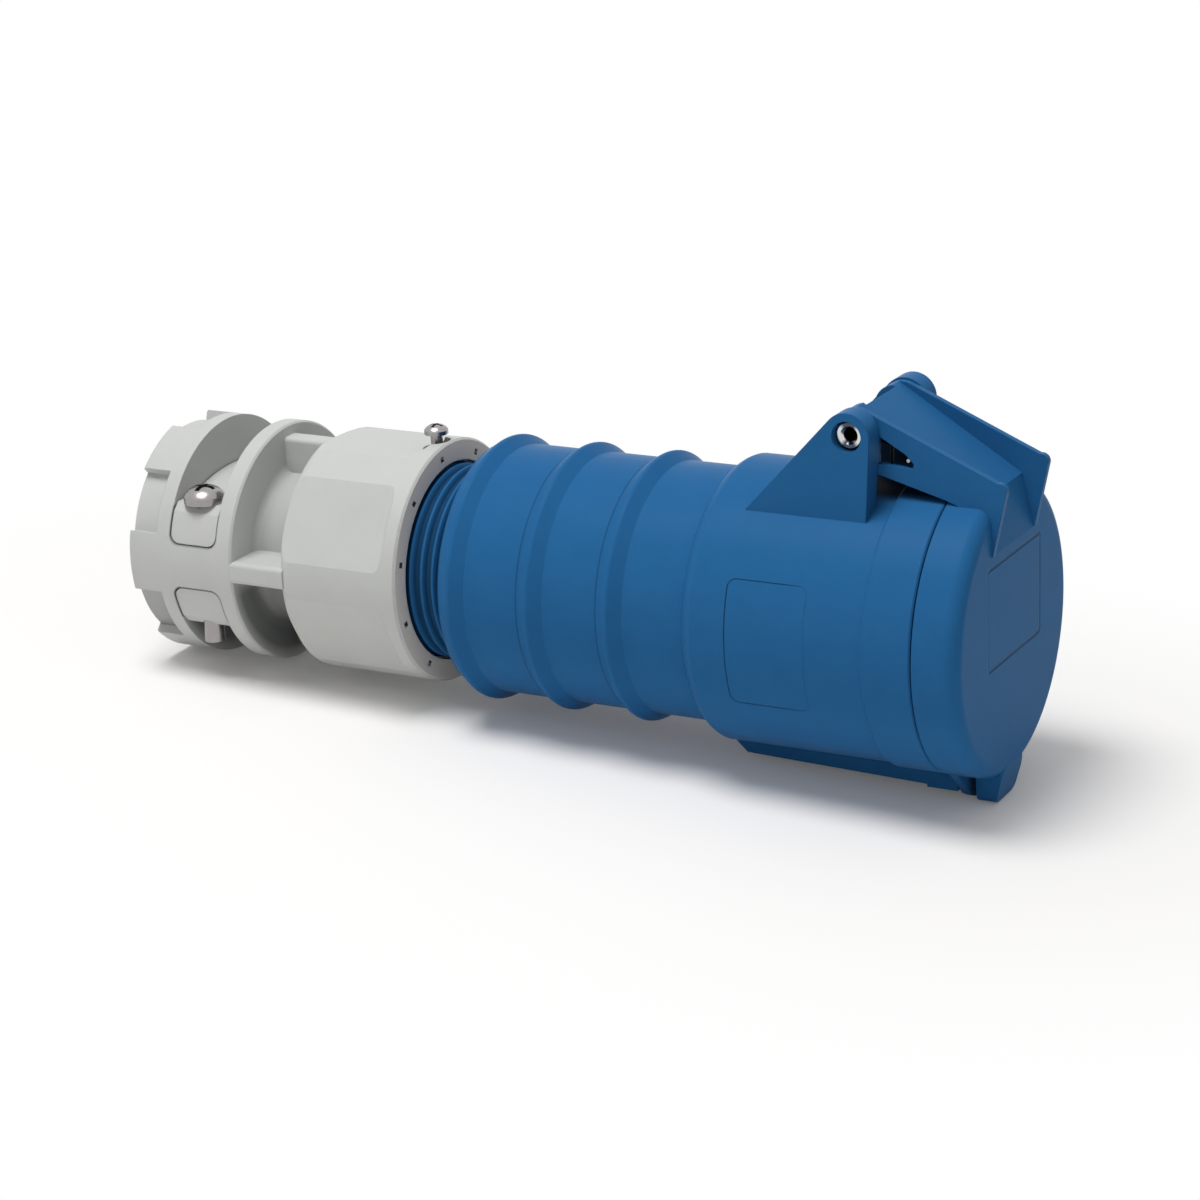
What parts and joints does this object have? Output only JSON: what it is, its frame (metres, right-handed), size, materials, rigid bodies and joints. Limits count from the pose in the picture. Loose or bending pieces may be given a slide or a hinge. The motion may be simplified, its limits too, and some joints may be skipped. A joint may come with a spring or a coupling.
{
  "type": "industrial cable coupler socket",
  "caption": "Blue industrial cable coupler socket with a sprung hinged lid, ribbed grip, threaded gland nut and a screwed two-jaw cable clamp.",
  "frame": {"origin": "on the socket's axis, at the plane of the front housing's mouth where the lid closes on it", "axes": "+X along the socket's axis out of the mouth, +Z from the axis towards the lid's hinge, +Y to the far side of the picture"},
  "size_m": [0.2671, 0.0818, 0.1104],
  "materials": {
    "blue_plastic": "fine-grained satin",
    "grey_plastic": "fine-grained matte",
    "dark_plastic": "moulded matte",
    "black_rubber": "soft matte",
    "bright_steel": "bright plated",
    "plated_steel": "zinc plated",
    "contact_brass": "bright turned"
  },
  "bodies": {
    "socket": {"front_housing": "blue_plastic", "handle": "blue_plastic", "hinge_pin": "bright_steel", "lid_spring": "bright_steel", "contact_carrier": "dark_plastic", "contact_block": "dark_plastic", "contact_retainer": "dark_plastic", "terminal_screws": "plated_steel", "sleeve_rings": "plated_steel", "carrier_screws": "plated_steel", "retainer_screws": "plated_steel", "line_sleeve": "contact_brass", "neutral_sleeve": "contact_brass", "earth_sleeve": "contact_brass", "cable_grommet": "black_rubber"},
    "lid": {"lid": "blue_plastic", "lid_gasket": "black_rubber"},
    "pressure_ring": {"pressure_ring": "grey_plastic"},
    "gland": {"gland_nut": "grey_plastic"},
    "lock_screw": {"lock_screw": "bright_steel"},
    "upper_clamp": {"upper_jaw": "grey_plastic", "clamp_screws": "bright_steel"},
    "lower_clamp": {"lower_jaw": "grey_plastic"}
  },
  "joints": [
    {"name": "lid_hinge", "type": "hinge", "parent": "socket", "child": "lid", "pos_m": [-0.0247, 0, 0.0555], "axis": [0, -1, 0], "range_deg": [0, 120], "stiffness_Nm_per_rad": 0.08, "springref_deg": -85.94, "deforming": ["lid_spring"]},
    {"name": "gland_advance", "type": "slide", "parent": "socket", "child": "pressure_ring", "axis": [1, 0, 0], "range_m": [-0.0145, 0.0055], "deforming": ["cable_grommet"]},
    {"name": "gland_turn", "type": "hinge", "parent": "pressure_ring", "child": "gland", "pos_m": [-0.18, 0, 0], "axis": [1, 0, 0], "range_deg": [-1440, 540]},
    {"name": "upper_jaw_travel", "type": "slide", "parent": "gland", "child": "upper_clamp", "axis": [0, 0, 1], "range_m": [0, 0.004]},
    {"name": "lower_jaw_travel", "type": "slide", "parent": "gland", "child": "lower_clamp", "axis": [0, 0, -1], "range_m": [0, 0.004]},
    {"name": "lock_screw_travel", "type": "slide", "parent": "gland", "child": "lock_screw", "axis": [0, 0, -1], "range_m": [0, 0.0029]}
  ],
  "couplings": [
    {"joint": "gland_advance", "follows": "gland_turn", "m_per_rad": 0.00057296},
    {"joint": "lower_jaw_travel", "follows": "upper_jaw_travel", "ratio": 1}
  ]
}
